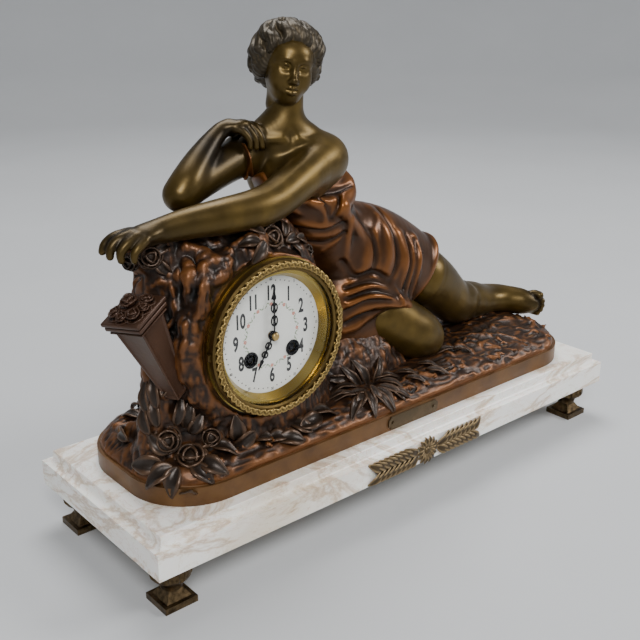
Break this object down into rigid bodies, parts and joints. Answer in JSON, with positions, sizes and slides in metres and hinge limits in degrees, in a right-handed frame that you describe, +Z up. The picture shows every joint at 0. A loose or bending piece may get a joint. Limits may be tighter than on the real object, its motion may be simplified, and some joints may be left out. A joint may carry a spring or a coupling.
{
  "type": "figural mantel clock",
  "caption": "Mantel clock with a reclining draped figure on a rock that holds a round striking movement behind a hinged glazed bezel, on a marble plinth with bronze feet.",
  "frame": {"origin": "on the table under the middle of the marble plinth", "axes": "+X along the plinth to the viewer's right, -Y out of the dial, +Z up"},
  "size_m": [0.5, 0.172, 0.3814],
  "materials": {
    "marble": "polished",
    "dark_bronze": "dark antique patina",
    "spelter": "bronze patina on cast metal",
    "gilt_brass": "satin gilt",
    "enamel": "glossy enamel",
    "glass": "clear",
    "movement_brass": "polished",
    "bell_metal": "polished",
    "blued_steel": "black",
    "steel": "plain"
  },
  "bodies": {
    "case": {"marble_plinth": "marble", "feet": "dark_bronze", "foot_studs": "steel", "laurel_mount": "dark_bronze", "terrace": "spelter", "terrace_bolts": "steel", "title_plaque": "dark_bronze", "plaque_pins": "steel", "rock": "spelter", "flower_pail": "spelter", "figure_torso": "spelter", "figure_head": "spelter", "figure_left_arm": "spelter", "figure_right_arm": "spelter", "figure_skirt": "spelter", "figure_near_leg": "spelter", "figure_far_leg": "spelter", "bezel_frame": "gilt_brass", "bezel_hinge_pin": "steel", "dial": "enamel", "dial_grommets": "movement_brass", "front_plate": "movement_brass", "back_plate": "movement_brass", "pillars": "movement_brass", "pillar_screws": "steel", "movement_screws": "steel", "pallet_cock": "movement_brass", "bell": "bell_metal", "bell_bracket": "movement_brass", "bell_nut": "movement_brass", "back_ring": "gilt_brass", "back_hinge_pin": "steel", "straps": "steel", "strap_screws": "steel"},
    "bezel_door": {"bezel": "gilt_brass", "bezel_glass": "glass", "sight_ring": "gilt_brass"},
    "back_door": {"back_cover": "gilt_brass"},
    "going_barrel_body": {"going_barrel": "movement_brass"},
    "going_arbor_body": {"going_winding_arbor": "steel"},
    "strike_barrel_body": {"strike_barrel": "movement_brass"},
    "strike_arbor_body": {"strike_winding_arbor": "steel"},
    "going_second_body": {"going_second_wheel": "movement_brass"},
    "centre_body": {"centre_wheel": "movement_brass", "cannon_pinion": "steel", "minute_hand": "blued_steel", "hand_nut": "gilt_brass"},
    "third_body": {"third_wheel": "movement_brass"},
    "escape_body": {"escape_wheel": "movement_brass"},
    "minute_wheel_body": {"minute_wheel": "movement_brass"},
    "hour_body": {"hour_wheel": "movement_brass", "hour_hand": "blued_steel"},
    "pallet_body": {"pallet_anchor": "steel"},
    "pendulum_body": {"pendulum_rod": "steel", "pendulum_bob": "movement_brass", "rating_nut": "movement_brass"},
    "strike_second_body": {"strike_second_wheel": "movement_brass"},
    "pin_wheel_body": {"pin_wheel": "movement_brass"},
    "fly_body": {"fly": "movement_brass"},
    "hammer_body": {"hammer": "steel"}
  },
  "joints": [
    {"name": "bezel_hinge", "type": "hinge", "parent": "case", "child": "bezel_door", "pos_m": [-0.0656, -0.0537, 0.1675], "axis": [0, 0, 1], "range_deg": [0, 100]},
    {"name": "back_cover_hinge", "type": "hinge", "parent": "case", "child": "back_door", "pos_m": [-0.1846, 0.0404, 0.1675], "axis": [0, 0, 1], "range_deg": [0, 100]},
    {"name": "centre_spin", "type": "hinge", "parent": "case", "child": "centre_body", "pos_m": [-0.126, 0, 0.1675], "axis": [0, -1, 0], "continuous": true},
    {"name": "going_second_spin", "type": "hinge", "parent": "case", "child": "going_second_body", "pos_m": [-0.11143, 0, 0.17184], "axis": [0, -1, 0], "continuous": true},
    {"name": "going_barrel_spin", "type": "hinge", "parent": "case", "child": "going_barrel_body", "pos_m": [-0.107, 0, 0.153], "axis": [0, -1, 0], "continuous": true},
    {"name": "third_spin", "type": "hinge", "parent": "case", "child": "third_body", "pos_m": [-0.12784, 0, 0.18057], "axis": [0, -1, 0], "continuous": true},
    {"name": "escape_spin", "type": "hinge", "parent": "case", "child": "escape_body", "pos_m": [-0.126, 0, 0.19247], "axis": [0, -1, 0], "continuous": true},
    {"name": "minute_wheel_spin", "type": "hinge", "parent": "case", "child": "minute_wheel_body", "pos_m": [-0.126, 0, 0.1555], "axis": [0, -1, 0], "continuous": true},
    {"name": "hour_spin", "type": "hinge", "parent": "case", "child": "hour_body", "pos_m": [-0.126, 0, 0.1675], "axis": [0, -1, 0], "continuous": true},
    {"name": "going_winding", "type": "hinge", "parent": "case", "child": "going_arbor_body", "pos_m": [-0.107, 0, 0.153], "axis": [0, -1, 0], "continuous": true},
    {"name": "strike_winding", "type": "hinge", "parent": "case", "child": "strike_arbor_body", "pos_m": [-0.145, 0, 0.153], "axis": [0, -1, 0], "continuous": true},
    {"name": "pin_wheel_spin", "type": "hinge", "parent": "case", "child": "pin_wheel_body", "pos_m": [-0.14601, 0, 0.18676], "axis": [0, -1, 0], "continuous": true},
    {"name": "strike_second_spin", "type": "hinge", "parent": "case", "child": "strike_second_body", "pos_m": [-0.14195, 0, 0.17211], "axis": [0, -1, 0], "continuous": true},
    {"name": "strike_barrel_spin", "type": "hinge", "parent": "case", "child": "strike_barrel_body", "pos_m": [-0.145, 0, 0.153], "axis": [0, -1, 0], "continuous": true},
    {"name": "fly_spin", "type": "hinge", "parent": "case", "child": "fly_body", "pos_m": [-0.13955, 0, 0.19445], "axis": [0, -1, 0], "continuous": true},
    {"name": "pendulum_swing", "type": "hinge", "parent": "case", "child": "pendulum_body", "pos_m": [-0.126, 0, 0.20502], "axis": [0, -1, 0], "range_deg": [-3.5, 3.5]},
    {"name": "pallet_swing", "type": "hinge", "parent": "case", "child": "pallet_body", "pos_m": [-0.126, 0, 0.20502], "axis": [0, -1, 0], "range_deg": [-3.6, 3.6]},
    {"name": "hammer_swing", "type": "hinge", "parent": "case", "child": "hammer_body", "pos_m": [-0.157, 0, 0.1895], "axis": [0, -1, 0], "range_deg": [-12, 0], "stiffness_Nm_per_rad": 0.002, "springref_deg": 5.73}
  ],
  "couplings": [
    {"joint": "going_second_spin", "follows": "centre_spin", "ratio": -0.15152},
    {"joint": "going_barrel_spin", "follows": "centre_spin", "ratio": 0.019936},
    {"joint": "third_spin", "follows": "centre_spin", "ratio": -12},
    {"joint": "escape_spin", "follows": "centre_spin", "ratio": 160},
    {"joint": "minute_wheel_spin", "follows": "centre_spin", "ratio": -0.33333},
    {"joint": "hour_spin", "follows": "centre_spin", "ratio": 0.083333},
    {"joint": "strike_second_spin", "follows": "pin_wheel_spin", "ratio": -0.15152},
    {"joint": "strike_barrel_spin", "follows": "pin_wheel_spin", "ratio": 0.019936},
    {"joint": "fly_spin", "follows": "pin_wheel_spin", "ratio": -8.5714},
    {"joint": "pallet_swing", "follows": "pendulum_swing", "ratio": 1}
  ]
}
